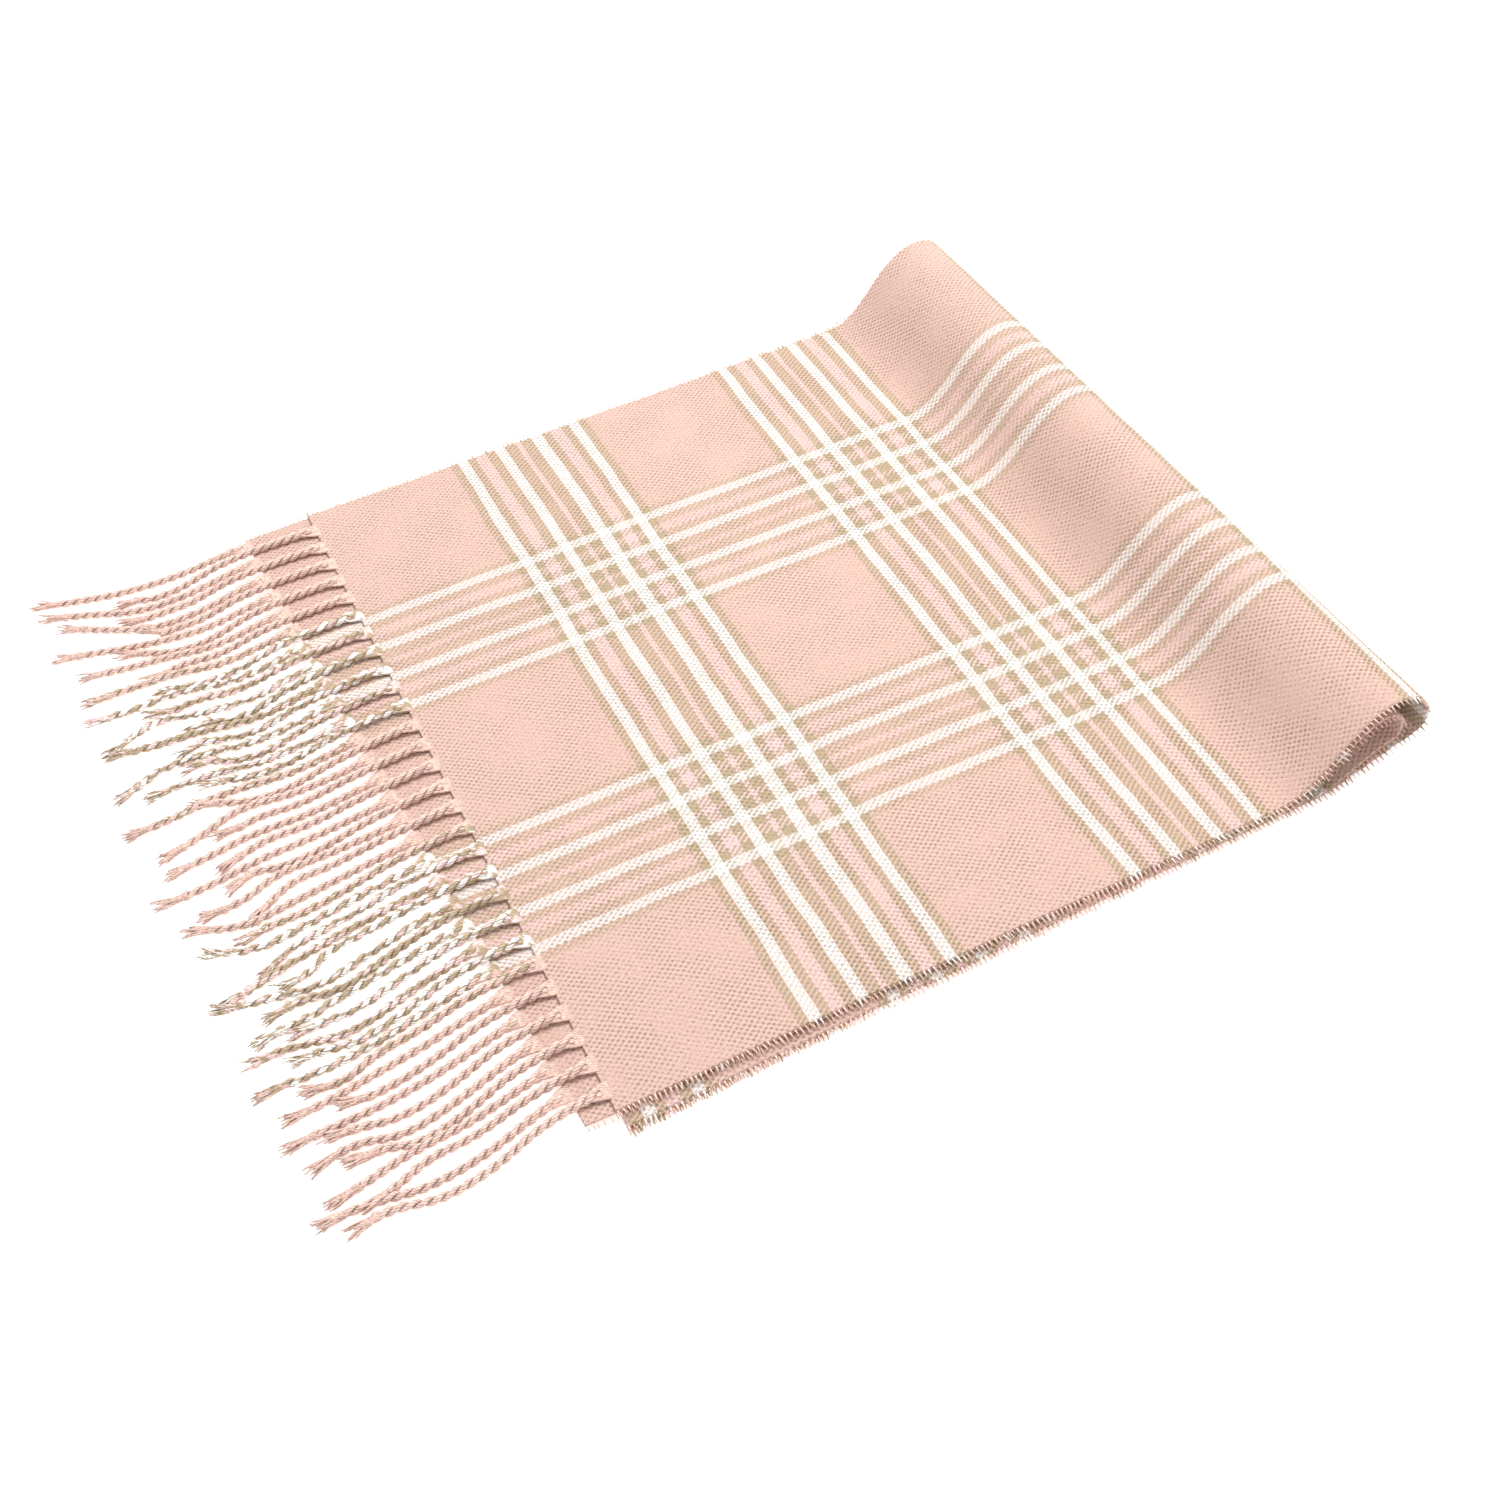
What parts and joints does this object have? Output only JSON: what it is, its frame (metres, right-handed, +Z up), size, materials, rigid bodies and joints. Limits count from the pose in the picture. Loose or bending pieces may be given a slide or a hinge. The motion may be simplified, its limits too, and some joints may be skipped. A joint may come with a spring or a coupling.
{
  "type": "folded woven throw",
  "caption": "Plaid woven throw of scarf size, folded flat with soft rolled folds at one end and twisted tassels at the other; its top leaves open out like the cover of a book.",
  "frame": {"origin": "middle of the underside, on the surface that the folded throw lies on", "axes": "+X from the tassels to the rolled folds, along the leaves; +Y across the cloth; +Z up"},
  "size_m": [0.4084, 0.3222, 0.036],
  "materials": {
    "woven_cloth": "soft brushed twill, plaid in dusty pink, khaki, white and pale pink",
    "selvedge_fringe": "cut yarn ends, matt and fuzzy",
    "tassel_yarn": "two-ply twisted yarn, soft sheen"
  },
  "bodies": {
    "lower_leaves": {"bottom_leaf": "woven_cloth", "bottom_leaf_selvedges": "selvedge_fringe", "fifth_leaf": "woven_cloth", "fifth_leaf_selvedges": "selvedge_fringe", "fourth_leaf": "woven_cloth", "fourth_leaf_selvedges": "selvedge_fringe", "left_fold_inner": "woven_cloth", "left_fold_inner_selvedges": "selvedge_fringe", "left_fold_outer": "woven_cloth", "left_fold_outer_selvedges": "selvedge_fringe", "lower_fold": "woven_cloth", "lower_fold_selvedges": "selvedge_fringe", "third_leaf": "woven_cloth", "third_leaf_selvedges": "selvedge_fringe", "upper_fold_inner": "woven_cloth", "upper_fold_inner_selvedges": "selvedge_fringe", "upper_fold_outer": "woven_cloth", "upper_fold_outer_selvedges": "selvedge_fringe"},
    "top_pair": {"second_leaf": "woven_cloth", "second_leaf_selvedges": "selvedge_fringe", "second_tassels_01": "tassel_yarn", "second_tassels_02": "tassel_yarn", "second_tassels_03": "tassel_yarn", "second_tassels_04": "tassel_yarn", "second_tassels_05": "tassel_yarn", "second_tassels_06": "tassel_yarn", "second_tassels_07": "tassel_yarn", "second_tassels_08": "tassel_yarn", "second_tassels_09": "tassel_yarn", "second_tassels_10": "tassel_yarn", "second_tassels_11": "tassel_yarn", "second_tassels_12": "tassel_yarn", "second_tassels_13": "tassel_yarn", "second_tassels_14": "tassel_yarn", "top_leaf": "woven_cloth", "top_leaf_selvedges": "selvedge_fringe", "top_tassels_01": "tassel_yarn", "top_tassels_02": "tassel_yarn", "top_tassels_03": "tassel_yarn", "top_tassels_04": "tassel_yarn", "top_tassels_05": "tassel_yarn", "top_tassels_06": "tassel_yarn", "top_tassels_07": "tassel_yarn", "top_tassels_08": "tassel_yarn", "top_tassels_09": "tassel_yarn", "top_tassels_10": "tassel_yarn", "top_tassels_11": "tassel_yarn", "top_tassels_12": "tassel_yarn", "top_tassels_13": "tassel_yarn", "top_tassels_14": "tassel_yarn"}
  },
  "joints": [
    {"name": "unfold_top_pair", "type": "hinge", "parent": "lower_leaves", "child": "top_pair", "pos_m": [0.21267, 0, 0.00435], "axis": [0, 1, 0], "range_deg": [0, 179.5], "deforming": ["upper_fold_outer", "upper_fold_inner", "upper_fold_outer_selvedges", "upper_fold_inner_selvedges"]}
  ]
}
